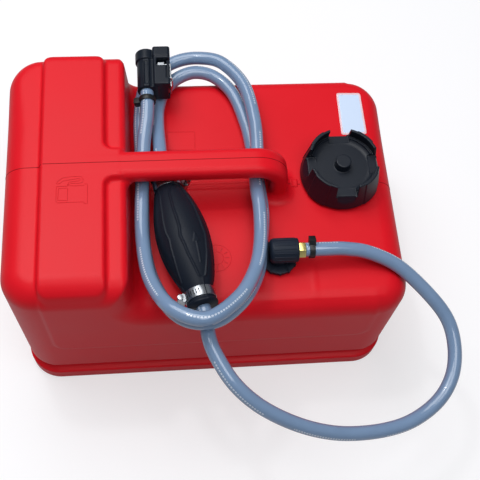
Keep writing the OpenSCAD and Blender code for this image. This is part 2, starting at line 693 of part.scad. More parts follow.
tank_body();
filler_cap();
cap_gasket();
vent_poppet();
vent_spring();
vent_retainer();
pickup_nut();
pickup_gasket();
pickup_elbow();
pickup_tube();
strainer();
hose_barb();
barb_tie();
tank_hose();
primer_bulb();
bulb_inlet();
bulb_outlet();
inlet_ball();
outlet_ball();
clamp_bands();
clamp_screws();
engine_hose();
connector_tie();
connector_body();
socket_seal();
socket_valve();
valve_spring();
socket_plug();
latch();
latch_pin();
latch_spring();
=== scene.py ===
# %% [markdown]
# # A portable fuel tank for an outboard engine
# The real tank is blow-moulded polyethylene: one soft-edged red shell whose handle is part of the
# same wall. Black fittings, a rubber primer bulb and a grey fuel hose lie on top of it. This
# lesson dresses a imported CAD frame, so every piece below is placed from real sizes in millimetres.

# %% Frame and units
import json
from math import cos, hypot, pi, radians, sin

import bmesh
import bpy
import numpy as np
from mathutils import Matrix, Vector
from numpy.linalg import norm

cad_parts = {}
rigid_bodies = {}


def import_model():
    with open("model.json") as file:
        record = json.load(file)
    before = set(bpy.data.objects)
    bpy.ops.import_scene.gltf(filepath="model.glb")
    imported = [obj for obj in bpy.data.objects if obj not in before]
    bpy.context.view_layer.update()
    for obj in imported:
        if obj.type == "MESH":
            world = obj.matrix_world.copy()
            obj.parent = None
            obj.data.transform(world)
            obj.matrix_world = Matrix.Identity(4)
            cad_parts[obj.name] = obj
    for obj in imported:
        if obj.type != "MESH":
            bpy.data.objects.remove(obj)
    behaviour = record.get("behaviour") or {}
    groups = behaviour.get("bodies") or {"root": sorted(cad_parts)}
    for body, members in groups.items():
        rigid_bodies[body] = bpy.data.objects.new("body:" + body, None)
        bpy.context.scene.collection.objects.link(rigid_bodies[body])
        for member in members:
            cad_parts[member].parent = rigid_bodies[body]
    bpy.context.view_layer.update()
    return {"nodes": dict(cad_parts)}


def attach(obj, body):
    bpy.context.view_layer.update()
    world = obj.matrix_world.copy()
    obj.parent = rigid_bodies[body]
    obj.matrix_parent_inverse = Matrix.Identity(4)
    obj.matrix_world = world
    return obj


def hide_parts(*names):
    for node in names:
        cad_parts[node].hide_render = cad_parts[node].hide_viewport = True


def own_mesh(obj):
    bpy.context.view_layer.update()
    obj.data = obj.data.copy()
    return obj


for left_over in list(bpy.data.objects):
    bpy.data.objects.remove(left_over)
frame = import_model()
MM = 0.001
scene = bpy.context.scene


def in_scene(name, data):
    """A new object of the scene for a mesh, a lamp or a camera."""
    thing = bpy.data.objects.new(name, data)
    scene.collection.objects.link(thing)
    return thing


# %% [markdown]
# ## Camera, floor and light
# The photograph looks down at about 64 degrees through a lens that is a little longer than normal.
# A large lamp high behind the left side gives the soft top light of a packshot and leaves the front
# wall dark. A weaker one high in front keeps that wall and the low hose readable, and a small one
# draws thin glints along the hoses. The floor glows for the camera and faintly in reflections, so
# it looks white and takes the shadow, and adds hardly any light to the object.

# %% Camera
camera_data = bpy.data.cameras.new("camera")
camera_data.sensor_width = 36
camera_data.lens = 62.45
camera = in_scene("camera", camera_data)
camera.location = (-0.0405, -0.3866, 0.8567)
camera.rotation_euler = (0.4506, -0.0628, -0.0740)
scene.camera = camera
scene.view_settings.view_transform = "Standard"

# %% Material helpers
def linear(hex_colour):
    """An sRGB colour such as #d8343c as linear RGBA."""
    parts = [int(hex_colour[i:i + 2], 16) / 255 for i in (1, 3, 5)]
    return [c / 12.92 if c <= 0.04045 else ((c + 0.055) / 1.055) ** 2.4 for c in parts] + [1.0]


def add_node(tree, kind, links=None, **settings):
    """One node with its settings. links gives its inputs, each from another node's output."""
    node = tree.nodes.new(kind)
    for key, value in settings.items():
        if hasattr(node, key):
            setattr(node, key, value)
        else:
            node.inputs[key.replace("_", " ")].default_value = value
    for socket, source in (links or {}).items():
        tree.links.new(source, node.inputs[socket])
    return node


def new_material(name, **settings):
    """A material, its tree and its Principled shader, whose inputs the settings name."""
    material = bpy.data.materials.new(name)
    material.use_nodes = True
    shader = material.node_tree.nodes["Principled BSDF"]
    for key, value in settings.items():
        shader.inputs[key.replace("_", " ")].default_value = value
    return material, material.node_tree, shader


def maths(tree, operation, *values):
    """A Math node's output. Each value is a number or another node's output."""
    node = add_node(tree, "ShaderNodeMath", operation=operation)
    for socket, value in zip(node.inputs, values):
        if isinstance(value, bpy.types.NodeSocket):
            tree.links.new(value, socket)
        else:
            socket.default_value = value
    return node.outputs[0]


def blend(tree, factor, a, b):
    """A mix of two colours. Each is a hex colour or another node's output."""
    node = add_node(tree, "ShaderNodeMix", {"Factor": factor}, data_type="RGBA")
    for title, colour in (("A", a), ("B", b)):
        if isinstance(colour, str):
            node.inputs[title].default_value = linear(colour)
        else:
            tree.links.new(colour, node.inputs[title])
    return node.outputs["Result"]


# %% Floor and world
SEEN_GLOW, MIRRORED_GLOW = 0.52, 0.12
WHITE = (1, 1, 1, 1)


def studio_floor():
    material, tree, shader = new_material("white_sweep", Base_Color=linear("#bcbcbf"),
                                          Roughness=0.9, Emission_Color=WHITE)
    path = add_node(tree, "ShaderNodeLightPath").outputs
    mirrored = maths(tree, "MULTIPLY", path["Is Glossy Ray"], MIRRORED_GLOW)
    glow = maths(tree, "MULTIPLY_ADD", path["Is Camera Ray"], SEEN_GLOW, mirrored)
    tree.links.new(glow, shader.inputs["Emission Strength"])
    mesh = bpy.data.meshes.new("floor")
    reach = 4.0
    corners = [(-reach, -reach, 0), (reach, -reach, 0), (reach, reach, 0), (-reach, reach, 0)]
    mesh.from_pydata(corners, [], [(0, 1, 2, 3)])
    mesh.materials.append(material)
    floor = in_scene("floor", mesh)


def studio_world():
    world = bpy.data.worlds.new("soft_room")
    scene.world = world
    world.use_nodes = True
    tree = world.node_tree
    room = tree.nodes["Background"]
    room.inputs["Color"].default_value = linear("#eef2f8")
    room.inputs["Strength"].default_value = 0.26
    white = add_node(tree, "ShaderNodeBackground", Strength=1.0, Color=WHITE)
    seen = add_node(tree, "ShaderNodeLightPath").outputs["Is Camera Ray"]
    mix = add_node(tree, "ShaderNodeMixShader", {0: seen, 1: room.outputs[0], 2: white.outputs[0]})
    tree.links.new(mix.outputs[0], tree.nodes["World Output"].inputs["Surface"])


def lamp(name, place, target, size, watts):
    """A square area lamp at a place, turned to a target."""
    data = bpy.data.lights.new(name, "AREA")
    data.size = size
    data.energy = watts
    light = in_scene(name, data)
    light.location = place
    light.rotation_euler = (Vector(target) - Vector(place)).to_track_quat("-Z", "Y").to_euler()


studio_floor()
studio_world()
lamp("high_behind_left", (-0.42, 0.55, 1.75), (0, 0, 0.1), 1.3, 19)
lamp("high_front", (0.25, -0.50, 1.80), (0, -0.1, 0.1), 0.9, 9)
lamp("small_glint", (-0.35, 0.30, 1.60), (0, 0, 0.18), 0.10, 2.2)
print("stage: floor, world and three lamps")

# %% [markdown]
# ## Finishes
# Each finish starts from what the real thing is, except the darker red of the seam and the raised
# marks, which is painted shade. Polyethylene comes out of its mould with a very fine grain and a
# waxy half-gloss. Glass-filled nylon and ABS fittings are satin black. Soft PVC hose is glossy,
# which a clear coat over it gives. Patterns are scaled from real millimetres.

# %% Finish functions
MOTTLE_MM = 60.0


def noise(tree, size_mm, detail, stretch=(1, 1, 1)):
    """Noise in the object's own space, with cells of size_mm, finer along a stretched axis."""
    where = add_node(tree, "ShaderNodeTexCoord").outputs["Object"]
    scaled = add_node(tree, "ShaderNodeMapping", {"Vector": where}, Scale=stretch)
    return add_node(tree, "ShaderNodeTexNoise", {"Vector": scaled.outputs[0]},
                    Scale=1 / (size_mm * MM), Detail=detail).outputs["Fac"]


def textured(tree, shader, height, strength, depth_mm, wear, low, high):
    """Bump from one pattern, and a roughness between low and high from another."""
    bump = add_node(tree, "ShaderNodeBump", {"Height": height}, Strength=strength,
                    Distance=depth_mm * MM)
    tree.links.new(bump.outputs[0], shader.inputs["Normal"])
    spread = add_node(tree, "ShaderNodeMapRange", {"Value": wear}, To_Min=low, To_Max=high)
    tree.links.new(spread.outputs[0], shader.inputs["Roughness"])


def moulded(name, colour, deep, roughness, grain_mm, grain_depth, gloss=0.5):
    """Moulded plastic: an even colour, slow mottling and a fine grain from the mould's steel."""
    material, tree, shader = new_material(name, Specular_IOR_Level=gloss)
    slow, grain = noise(tree, MOTTLE_MM, 3.0), noise(tree, grain_mm, 4.0)
    tree.links.new(blend(tree, slow, deep, colour), shader.inputs["Base Color"])
    textured(tree, shader, grain, 0.6, grain_depth, slow, roughness - 0.05, roughness + 0.05)
    return material


def metal(name, colour, roughness, brush_mm, depth):
    """Rolled or turned metal with fine lines across the tool's path."""
    material, tree, shader = new_material(name, Base_Color=linear(colour), Metallic=1.0)
    lines = noise(tree, brush_mm, 2.0, stretch=(1, 1, 6))
    textured(tree, shader, lines, 0.4, depth, lines, roughness - 0.06, roughness + 0.08)
    return material


# %% Finishes
# Blow-moulded HDPE: the grain is finer than the render shows, so it is drawn at 1.6 mm. The grain
# breaks up most of its reflection, which is why its gloss is set low: a haze would turn it pink.
RED_HDPE = moulded("red_hdpe", "#e01424", "#d8101e", 0.40, 1.6, 0.09, 0.18)
# The parting line's ridge is a darker red than the shell: painted shade along the seam.
SEAM_PAINTED_SHADE_RED = moulded("hdpe_seam_painted_shade", "#9c0c16", "#900a12", 0.5, 1.6, 0.05, 0.15)
# The raised marks are a little darker red than the shell: painted shade along their ridges.
MARK_PAINTED_SHADE_RED = moulded("hdpe_raised_mark_painted_shade", "#d0101e", "#c60e1a", 0.45, 1.6, 0.05, 0.2)
BLACK_NYLON = moulded("black_nylon", "#1b2433", "#141c29", 0.50, 0.9, 0.05, 0.22)
CAP_BLACK = moulded("black_cap", "#101927", "#0b121d", 0.45, 0.9, 0.05, 0.34)
BLACK_ABS = moulded("black_abs", "#171f2b", "#121923", 0.36, 0.9, 0.04, 0.22)
BULB_RUBBER = moulded("bulb_rubber", "#161d2a", "#10161f", 0.5, 1.1, 0.04, 0.2)
TIE_NYLON = moulded("tie_nylon", "#14171b", "#0e1013", 0.42, 0.8, 0.03)
SEAL_RUBBER = moulded("seal_rubber", "#121315", "#0c0d0e", 0.7, 0.8, 0.03)
STICKER = moulded("paper_label", "#d3e4fc", "#cbdcf6", 0.45, 0.5, 0.01)
STICKER_EDGE = moulded("paper_label_edge", "#f5d5dc", "#efc8d0", 0.5, 0.5, 0.01)
CLAMP_STEEL = metal("rolled_stainless", "#a9adb2", 0.27, 0.6, 0.01)
BRASS = metal("turned_brass", "#dccd84", 0.28, 0.5, 0.02)
print("finishes:", len(bpy.data.materials))


# %% Hose finish
# Flexible PVC, extruded: glossy, cool grey, with one line of print along it, in runs of short
# dashes. PRINT_TURN is the line's place round the hose, and the other sizes are in millimetres.
HOSE_D = 13.0
PRINT_TURN, PRINT_H = 0.90, 1.6
DASH, DASH_PITCH, RUN, RUN_PITCH = 1.7, 2.6, 60.0, 90.0


def hose_finish():
    material, tree, shader = new_material("grey_pvc_hose", Roughness=0.16, Coat_Weight=0.6,
                                          Coat_Roughness=0.05)
    uv = add_node(tree, "ShaderNodeUVMap", uv_map="hose")
    parts = add_node(tree, "ShaderNodeSeparateXYZ", {0: uv.outputs[0]}).outputs
    # X counts once round the hose, and Y is in metres along it
    away = maths(tree, "ABSOLUTE", maths(tree, "SUBTRACT", parts["X"], PRINT_TURN))
    ink = maths(tree, "LESS_THAN", away, PRINT_H / 2 / (pi * HOSE_D))
    for length, pitch in ((DASH, DASH_PITCH), (RUN, RUN_PITCH)):
        along = maths(tree, "PINGPONG", parts["Y"], pitch / 2 * MM)
        ink = maths(tree, "MULTIPLY", ink, maths(tree, "LESS_THAN", along, length / 2 * MM))
    base = blend(tree, noise(tree, 22, 2.0), "#7089a9", "#7c96b7")
    tree.links.new(blend(tree, ink, base, "#c3cedd"), shader.inputs["Base Color"])
    return material


HOSE_PVC = hose_finish()

# %% [markdown]
# ## From shape to piece
# A finished piece keeps its place in its mesh, so that its object can sit at the origin. Small
# helpers turn points into a piece, put faces round a tube and turn a profile as a lathe would.

# %% Piece helpers
def piece_from(name, points, faces, material, body="tank", smooth=True):
    """A mesh object from points in millimetres. It rides on one body of the frame."""
    mesh = bpy.data.meshes.new(name)
    mesh.from_pydata((np.asarray(points, float) * MM).tolist(), [], faces)
    mesh.materials.append(material)
    mesh.validate()
    if smooth:
        mesh.shade_smooth()
    thing = in_scene(name, mesh)
    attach(thing, body)
    return thing


def angles(count):
    """Equal angles once round."""
    return [2 * pi * i / count for i in range(count)]


def tube_faces(rows, n, closed=False):
    """Quads between rows of n points. A tube that isn't closed on itself gets two end faces."""
    faces = []
    for i in range(rows if closed else rows - 1):
        near, far = i * n, (i + 1) % rows * n
        for j in range(n):
            k = (j + 1) % n
            faces.append((near + j, near + k, far + k, far + j))
    if not closed:
        faces += [tuple(range(n))[::-1], tuple((rows - 1) * n + k for k in range(n))]
    return faces


def rounded_profile(corners, radius, steps=4):
    """A closed profile whose corners are rounded with the given radius."""
    out = []
    corners = np.array(corners, float)
    for i, p in enumerate(corners):
        before, after = corners[i - 1] - p, corners[(i + 1) % len(corners)] - p
        reach = min(radius, 0.45 * norm(before), 0.45 * norm(after))
        a = p + before / norm(before) * reach
        b = p + after / norm(after) * reach
        for k in range(steps + 1):
            t = k / steps
            out.append(tuple((1 - t) ** 2 * a + 2 * t * (1 - t) * p + t ** 2 * b))
    return out


def tidy(thing):
    """Merges doubles and turns the faces outwards."""
    merge = 0.005 * MM
    work = bmesh.new()
    work.from_mesh(thing.data)
    bmesh.ops.remove_doubles(work, verts=work.verts, dist=merge)
    bmesh.ops.dissolve_degenerate(work, dist=merge, edges=work.edges)
    bmesh.ops.recalc_face_normals(work, faces=work.faces)
    work.to_mesh(thing.data)
    work.free()


def axes_of(axis):
    """X, Y and Z at right angles to each other, with Z along an axis."""
    z_axis = np.array(axis, float) / norm(axis)
    x_axis = np.cross([0, 0, 1], z_axis) if abs(z_axis[2]) < 0.9 else np.array([1.0, 0, 0])
    x_axis /= norm(x_axis)
    return np.array([x_axis, np.cross(z_axis, x_axis), z_axis])


def lathe_piece(name, profile, place, axis, material, count=96):
    """A closed profile of (radius, height) turned about an axis."""
    points = [(r * cos(a), r * sin(a), z) for a in angles(count) for r, z in profile]
    faces = [(a, d, c, b) for a, b, c, d in tube_faces(count, len(profile), closed=True)]
    thing = piece_from(name, np.array(points) @ axes_of(axis) + place, faces, material)
    tidy(thing)
    return thing


# %% [markdown]
# ## The hoses
# The cords come first, because they decide how far the object spreads. Both hoses run straight out
# of their fittings and then lie in the two long loops that the photograph shows. The points are
# listed every few diameters, and a smooth curve runs through them.

# %% Hose routes
BULB_TURN, BULB_TILT, BULB_LEN = 12.0, 2.5, 136.0
BULB_MID = np.array([-25.0, -63.0, 186.75])
turn, tilt = radians(BULB_TURN), radians(BULB_TILT)
BULB_DIR = np.array([-sin(turn) * cos(tilt), cos(turn) * cos(tilt),
                     -sin(tilt)])
BULB_LOW = BULB_MID - BULB_DIR * BULB_LEN / 2
BULB_HIGH = BULB_MID + BULB_DIR * BULB_LEN / 2
CONN_IN = np.array([-53.0, 92.5, 193.0])
STRAIGHT = 13.0

TANK_ROUTE = [
    (84, -76, 182.5), (104, -76, 182.5), (122, -76, 181), (144, -79, 177), (171, -90, 168.5),
    (198, -113, 156), (216, -135, 144), (221, -159, 135), (216, -184, 129), (201, -205, 124),
    (176, -221, 122), (148, -229, 124), (114, -232, 131), (85, -230, 142), (57, -223, 155),
    (31, -211, 168), (11, -194, 179), (-3, -171, 187), (-8, -155, 189.5),
    BULB_LOW - BULB_DIR * STRAIGHT, BULB_LOW]

ENGINE_ROUTE = [
    BULB_HIGH, BULB_HIGH + BULB_DIR * STRAIGHT,
    (-43, 40, 180), (-44, 65, 175), (-43, 88, 171), (-37, 108, 171), (-24, 122, 173),
    (-5, 129, 174), (15, 124, 172), (32, 104, 170.5), (42, 70, 170), (46, 40, 170),
    (49, 0, 170), (50, -33, 172), (45, -68, 176.5), (39, -98, 184), (23, -127, 194.5),
    (-3, -148, 204.5), (-31, -142, 202), (-51, -108, 186), (-60, -66, 173), (-61, -14, 171.5),
    (-61, 40, 171.5), (-61, 76, 171.5), (-56, 112, 171.5), (-41, 133, 172), (-20, 145, 173),
    (2, 146, 175), (23, 136, 179), (42, 106, 183), (49, 66, 184.5), (49, 30, 184.5),
    (45, -3, 184.5), (46, -37, 187), (43, -72, 191.5), (35, -102, 200.5), (18, -131, 212),
    (-10, -151, 219.5), (-38, -139, 215.5), (-55, -106, 200), (-61, -63, 187.5), (-61, -22, 185.5),
    (-58, 34, 187), (-54, 64, 191.5),
    CONN_IN - np.array([0, STRAIGHT, 0]), CONN_IN]


# %% Hose maker
def smooth_route(points, steps):
    """The smooth curve through all the points of a route."""
    p = np.array(points, float)
    last = len(p) - 1
    out = []
    for i in range(last):
        a, b, c, d = p[max(i - 1, 0)], p[i], p[i + 1], p[min(i + 2, last)]
        for k in range(steps):
            s = k / steps
            out.append(0.5 * (2 * b + (c - a) * s + (2 * a - 5 * b + 4 * c - d) * s ** 2
                              + (3 * b - a - 3 * c + d) * s ** 3))
    out.append(p[last])
    return np.array(out)


def hose(name, route, node, sides=20):
    """A round tube along a route, with its UV once round it and in metres along it."""
    path = smooth_route(route, 8)
    gaps = norm(np.diff(path, axis=0), axis=1)
    along = np.concatenate([[0], np.cumsum(gaps)]) * MM
    length = float(along[-1])
    side = np.array([0.0, 0.0, 1.0])
    points = []
    for i, p in enumerate(path):
        ahead = path[min(i + 1, len(path) - 1)] - path[max(i - 1, 0)]
        ahead /= norm(ahead)
        side = side - ahead * side.dot(ahead)
        side /= norm(side)
        other = np.cross(ahead, side)
        points += [p + HOSE_D / 2 * (cos(a) * side + sin(a) * other)
                   for a in angles(sides)]
    thing = piece_from(name, points, tube_faces(len(path), sides), HOSE_PVC)
    corners = [(k / sides, along[i]) for row in range(len(path) - 1) for spoke in range(sides)
               for k, i in ((spoke, row), (spoke + 1, row), (spoke + 1, row + 1), (spoke, row + 1))]
    corners += [(0.8, 0)] * (2 * sides)
    layer = thing.data.uv_layers.new(name="hose")
    layer.data.foreach_set("uv", np.array(corners, float).ravel())
    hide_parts(node)
    print(name, "is", round(length, 4), "m long")
    return thing, path, length


tank_hose, tank_path, tank_length = hose("fuel_hose_lower", TANK_ROUTE, "tank_hose")
engine_hose, engine_path, engine_length = hose("fuel_hose_upper", ENGINE_ROUTE, "engine_hose")

# %% [markdown]
# ## Soft-edged moulded shapes
# No edge of a moulded piece is sharp. A bevel on each edge would have to cross the others, so the
# shape is described instead as a field: a distance that is negative inside. Two fields join with a
# fillet or meet in a rounded edge of any radius, and the zero level is then skinned with faces.

# %% Field helpers
def join(a, b, r):
    """Two solids joined with a concave fillet of radius r."""
    u, v = np.maximum(r - a, 0), np.maximum(r - b, 0)
    return np.maximum(r, np.minimum(a, b)) - np.sqrt(u * u + v * v)


def common(a, b, r):
    """What two solids share, with a convex edge of radius r."""
    u, v = np.maximum(r + a, 0), np.maximum(r + b, 0)
    return np.minimum(-r, np.maximum(a, b)) + np.sqrt(u * u + v * v)


def cut(a, b, r):
    """Solid a less solid b, with its new edges rounded."""
    return common(a, -b, r)


def meet(*fields):
    """What solids share, with sharp edges."""
    return np.maximum.reduce(fields)


def slab(t, middle, half):
    """Distance to the space between two planes."""
    return np.abs(t - middle) - half


def ramp(d, width):
    """0 below, 1 above, smooth over a width about d = 0."""
    t = np.clip(d / width + 0.5, 0, 1)
    return t * t * (3 - 2 * t)


def plate(x, y, half_x, half_y, r):
    """Distance to a rectangle with round corners."""
    u, v = np.abs(x) - half_x + r, np.abs(y) - half_y + r
    return np.hypot(np.maximum(u, 0), np.maximum(v, 0)) + np.minimum(np.maximum(u, v), 0) - r


def spaced(stops):
    """Grid lines: from each (start, step) to the next start."""
    lines = [np.arange(a, b, step) for (a, step), (b, _) in zip(stops, stops[1:])]
    return np.concatenate(lines + [[stops[-1][0]]])


def skin(field, xs, ys, zs):
    """Faces over a field's zero level: one point a crossed cell, one face a crossed edge."""
    grid = np.meshgrid(xs, ys, zs, indexing="ij")
    v = field(*grid)
    shape = tuple(n - 1 for n in v.shape)
    total = np.zeros(shape + (3,))
    count = np.zeros(shape)
    crossings = []
    for axis in range(3):
        low = tuple(slice(0, -1) if k == axis else slice(None) for k in range(3))
        high = tuple(slice(1, None) if k == axis else slice(None) for k in range(3))
        a, b = v[low], v[high]
        crossed = (a < 0) != (b < 0)
        t = np.where(crossed, a / np.where(crossed, a - b, 1), 0)
        place = [g[low].copy() for g in grid]
        place[axis] += t * (grid[axis][high] - grid[axis][low])
        place = np.stack(place, -1) * crossed[..., None]
        # each crossed edge gives its place to the four cells round it
        p, q = [k for k in range(3) if k != axis]
        for i, j in ((0, 0), (0, 1), (1, 0), (1, 1)):
            part = [slice(None)] * 3
            part[p], part[q] = slice(i, shape[p] + i), slice(j, shape[q] + j)
            total += place[tuple(part)]
            count += crossed[tuple(part)]
        crossings.append((crossed, a < 0))
    used = count > 0
    number = -np.ones(shape, int)
    number[used] = np.arange(used.sum())
    points = total[used] / count[used][:, None]
    faces = []
    for axis, (crossed, inside) in enumerate(crossings):
        b_axis, c_axis = (axis + 1) % 3, (axis + 2) % 3
        at = np.argwhere(crossed)
        flip = ~inside[crossed]
        ok = (at[:, b_axis] > 0) & (at[:, c_axis] > 0)
        ok &= (at[:, b_axis] < shape[b_axis]) & (at[:, c_axis] < shape[c_axis])
        at, flip = at[ok], flip[ok]
        ring = []
        for db, dc in ((1, 1), (0, 1), (0, 0), (1, 0)):
            cell = at.copy()
            cell[:, b_axis] -= db
            cell[:, c_axis] -= dc
            ring.append(number[tuple(cell.T)])
        quad = np.stack(ring, -1)
        quad[flip] = quad[flip][:, ::-1]
        faces.append(quad)
    return settle(field, points), np.concatenate(faces).tolist()


def field_piece(name, field, grid, finish, node, body="tank", shift=(0, 0, 0)):
    """A field's skin as a piece that stands for a CAD node. The grid is three lists of stops."""
    points, faces = skin(field, *[spaced(stops) for stops in grid])
    thing = piece_from(name, points + np.array(shift), faces, finish, body)
    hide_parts(node)
    print(name, "has", len(faces), "faces")
    return thing


def slope_of(field, p, h):
    """The field's slope at points, from differences over h to either side."""
    return np.stack([(field(*(p + h * e).T) - field(*(p - h * e).T)) / (2 * h)
                     for e in np.eye(3)], -1)


def settle(field, points, rounds=2, h=0.05):
    """Moves points onto the zero level along the field's slope."""
    p = np.array(points, float)
    for _ in range(rounds):
        f = field(p[:, 0], p[:, 1], p[:, 2])
        slope = slope_of(field, p, h)
        step = (f / np.maximum((slope ** 2).sum(-1), 0.2))[:, None] * slope
        p -= np.clip(step, -0.6, 0.6)
    return p


# %% [markdown]
# ## The tank shell
# The shell is one field: the plan's wall meets the top's profile in a 22 mm edge, which is tighter
# along the back. The top is a low deck and a high block with a raised band, and the band runs on
# into the handle. The foot and the groove over it are steps of the wall. The handle is a rounded
# bar along a bent line, joined to the deck and the block with wide fillets, as hot plastic would
# leave them.

# %% Tank sizes
BODY_L, BODY_W, DECK = 366.0, 250.0, 163.0
CORNER_R, EDGE_R, BACK_EDGE_R, TOP_R = 30.0, 22.0, 12.0, 5.5
BLOCK, BAND = 209.0, 215.0
WALL_X, WALL_LEAN, FOOT_FILLET = -70.0, 4.0, 12.0
BAND_X0, BAND_X1, PAD_Y, PAD_HALF = -149.0, -92.0, 3.2, 15.2
PANEL_RISE, PANEL_Z = 1.5, 86.0
FOOT_H, FOOT_OUT, GROOVE_TOP, GROOVE_D = 18.0, 2.0, 33.0, 5.0
HANDLE_W, HANDLE_T, HANDLE_BEND, LEG_X, HANDLE_Y = 27.2, 16.5, 23.0, 67.0, 1.6
NECK = np.array([129.0, 10.0])
NECK_R, NECK_BORE = 26.0, 21.0


# %% Tank field
def handle_field(x, y, z):
    """A rounded bar along a line at the band's height, which bends down to the deck."""
    u, v = x - (LEG_X - HANDLE_BEND), z - (BAND - HANDLE_T / 2 - HANDLE_BEND)
    line = np.where((u > 0) & (v > 0), np.hypot(u, v), np.maximum(u, v)) - HANDLE_BEND
    bar = plate(line, y - HANDLE_Y, HANDLE_T / 2, HANDLE_W / 2, 6.5)
    return meet(bar, 150 - z, -110 - x)


def tank_field(x, y, z):
    """The whole shell. It is solid apart from the neck's bore."""
    # a panel with round lower corners on the front and back walls
    front_or_back = ramp(-plate(x - 1.5, z - PANEL_Z - 100, 150.5, 100, 14), 3.5)
    wall = plate(x, y, BODY_L / 2, BODY_W / 2, CORNER_R)
    wall = wall - PANEL_RISE * front_or_back - FOOT_OUT * ramp(FOOT_H - z, 3)
    wall = wall + GROOVE_D * ramp(z - FOOT_H, 3) * ramp(GROOVE_TOP - z, 4)
    strap = plate(x - (BAND_X0 + BAND_X1) / 2, y, (BAND_X1 - BAND_X0) / 2, 123.5, 9)
    pad = meet(slab(y, PAD_Y, PAD_HALF), -140 - x)
    raised = join(strap, pad, 8)
    block_top = z - BLOCK - (BAND - BLOCK) * ramp(-raised, 4)
    lean = WALL_LEAN / (BLOCK - DECK)
    side = (x - WALL_X + (z - DECK) * lean) / hypot(1, lean)
    # ridges of the pinched weld under the handle, and faint creases at the front right
    under = ramp(x + 60, 10) * ramp(58 - x, 6)
    weld = sum(0.9 * under * ramp(0.9 - np.abs(y - at), 1.6) for at in (1.8, 7.2, 11.8))
    crease = 0.5 * ramp(1.5 - np.abs(x - 92.7), 3) * ramp(y + 115, 4) * ramp(-83 - y, 8)
    crease = crease + 0.4 * ramp(1.5 - np.abs(y + 114.7), 3) * ramp(x - 45, 8) * ramp(160 - x, 8)
    top = join(z - DECK - weld - crease, common(block_top, side, TOP_R), FOOT_FILLET)
    edge = EDGE_R - (EDGE_R - BACK_EDGE_R) * ramp(y - 75, 60) * ramp(175 - np.abs(x), 50)
    shell = common(wall, top, edge)
    fillet = 0.3 + 9 * ramp(205 - z, 12)
    shell = join(shell, handle_field(x, y, z), fillet)
    well = meet(np.hypot(x - NECK[0], y - NECK[1]) - NECK_BORE, 120 - z)
    return common(meet(shell, -well), -z, 1.5)


# %% Tank mesh
# The grid is fine where the shell has small forms: the block, the handle, the edges and the foot.
TANK_GRID = ([(-190, 2.6), (-156, 1.4), (-62, 2.7), (190, 2.7)],
             [(-132, 2.7), (-24, 1.3), (24, 2.7), (96, 1.8), (132, 1.8)],
             [(-3, 1.8), (40, 6), (78, 2.4), (94, 6), (134, 2.4), (219, 2.4)])
field_piece("tank_shell", tank_field, TANK_GRID, RED_HDPE, "tank_body")

# %% [markdown]
# ## Filler neck
# The neck is trimmed and threaded by the mould, so it is a turned piece with a raised thread of two
# starts. The lead is the cap's rise in one turn. Both only show when the cap is off.

# %% Neck
NECK_TOP, THREAD_LOW, LEAD, THREAD_TURNS = 178.0, 167.3, 10.0, 0.9


def filler_neck():
    profile = rounded_profile([(NECK_BORE, 150), (NECK_BORE, NECK_TOP), (NECK_R, NECK_TOP),
                               (NECK_R, 160), (NECK_R, 150)], 1.0)
    neck = lathe_piece("filler_neck", profile, (*NECK, 0), (0, 0, 1), RED_HDPE)
    steps, root = 144, NECK_R - 0.3
    for start in (0, 1):
        points = []
        for i in range(steps + 1):
            turns = THREAD_TURNS * i / steps
            a = 2 * pi * turns + pi * start
            crest = root + min(1.0, i / 10, (steps - i) / 10)
            points += [(NECK[0] + r * cos(a), NECK[1] + r * sin(a),
                        THREAD_LOW + LEAD * turns + dz)
                       for r, dz in ((root, -1.2), (crest, -0.3), (crest, 0.3), (root, 1.2))]
        thread = piece_from("neck_thread_%d" % start, points, tube_faces(steps + 1, 4), RED_HDPE)
        tidy(thread)
    print("neck with a thread of two starts")


filler_neck()

# %% [markdown]
# ## Filler cap
# The hand turns the cap by four castle walls round a dished floor. It is moulded, so it is a field
# too, on a finer grid: a tapered cup, less four notches, with a bead round its bowl, a sloped lip
# under each notch and low steps on the outside of the walls.

# %% Cap sizes
CAP_LOW, CAP_FLOOR, CAP_TIP = 166.3, 183.0, 197.0
CAP_R, CAP_TIP_R, CAP_WALL = 38.5, 33.3, 2.5
NOTCH_HALF, NOTCH_IN, BOWL_R, BOWL_H = 10.0, 25.0, 29.3, 2.4
BOSS_R, BOSS_H = 7.3, 9.0
BOW = (CAP_R - CAP_TIP_R) / (CAP_TIP - CAP_LOW)


# %% Cap field
def cap_field(x, y, z):
    """The cap about its own axis, at its height in the frame."""
    r = np.hypot(x, y)
    angle = np.arctan2(y, x)
    # distance along the nearest notch's side, and along the notch
    swing = (angle + pi / 4) % (pi / 2) - pi / 4
    across, out = np.abs(r * np.sin(swing)), r * np.cos(swing)
    step = 0.8 * ramp(np.abs(swing) - 0.52, 0.02) * ramp(1.05 - np.abs(swing), 0.02)
    cone = (r - CAP_R + BOW * (z - CAP_LOW) - step) / hypot(1, BOW)
    body = common(common(cone, z - CAP_TIP, 0.7), CAP_LOW - z, 0.8)
    inside = cone + CAP_WALL + step
    # a bowl with a raised bead round it, open through the notches: one void, cut once
    bead = meet(slab(r, BOWL_R + 0.6, 0.75), z - CAP_FLOOR - 3.9)
    dish = meet(inside, CAP_FLOOR + BOWL_H - z, -bead)
    bowl = meet(r - BOWL_R, CAP_FLOOR + BOWL_H * np.clip((r - 24) / 5.3, 0, 1) ** 2 - z)
    notch = meet(across - NOTCH_HALF, CAP_FLOOR - z, NOTCH_IN - out)
    body = cut(body, np.minimum(np.minimum(dish, bowl), notch), 0.5)
    # sloped lip: a flat that starts inside the notch and leaves the skirt 13 mm lower
    lip = (out - 33.0) * 0.90 + (z - CAP_FLOOR) * 0.43
    body = cut(body, meet(-lip, across - 8.6), 0.5)
    boss = common(r - BOSS_R, z - CAP_FLOOR - BOSS_H, 0.9)
    body = join(body, meet(boss, CAP_FLOOR - 2 - z), 0.8)
    return cut(body, meet(inside, z - (CAP_FLOOR - 3)), 0.4)


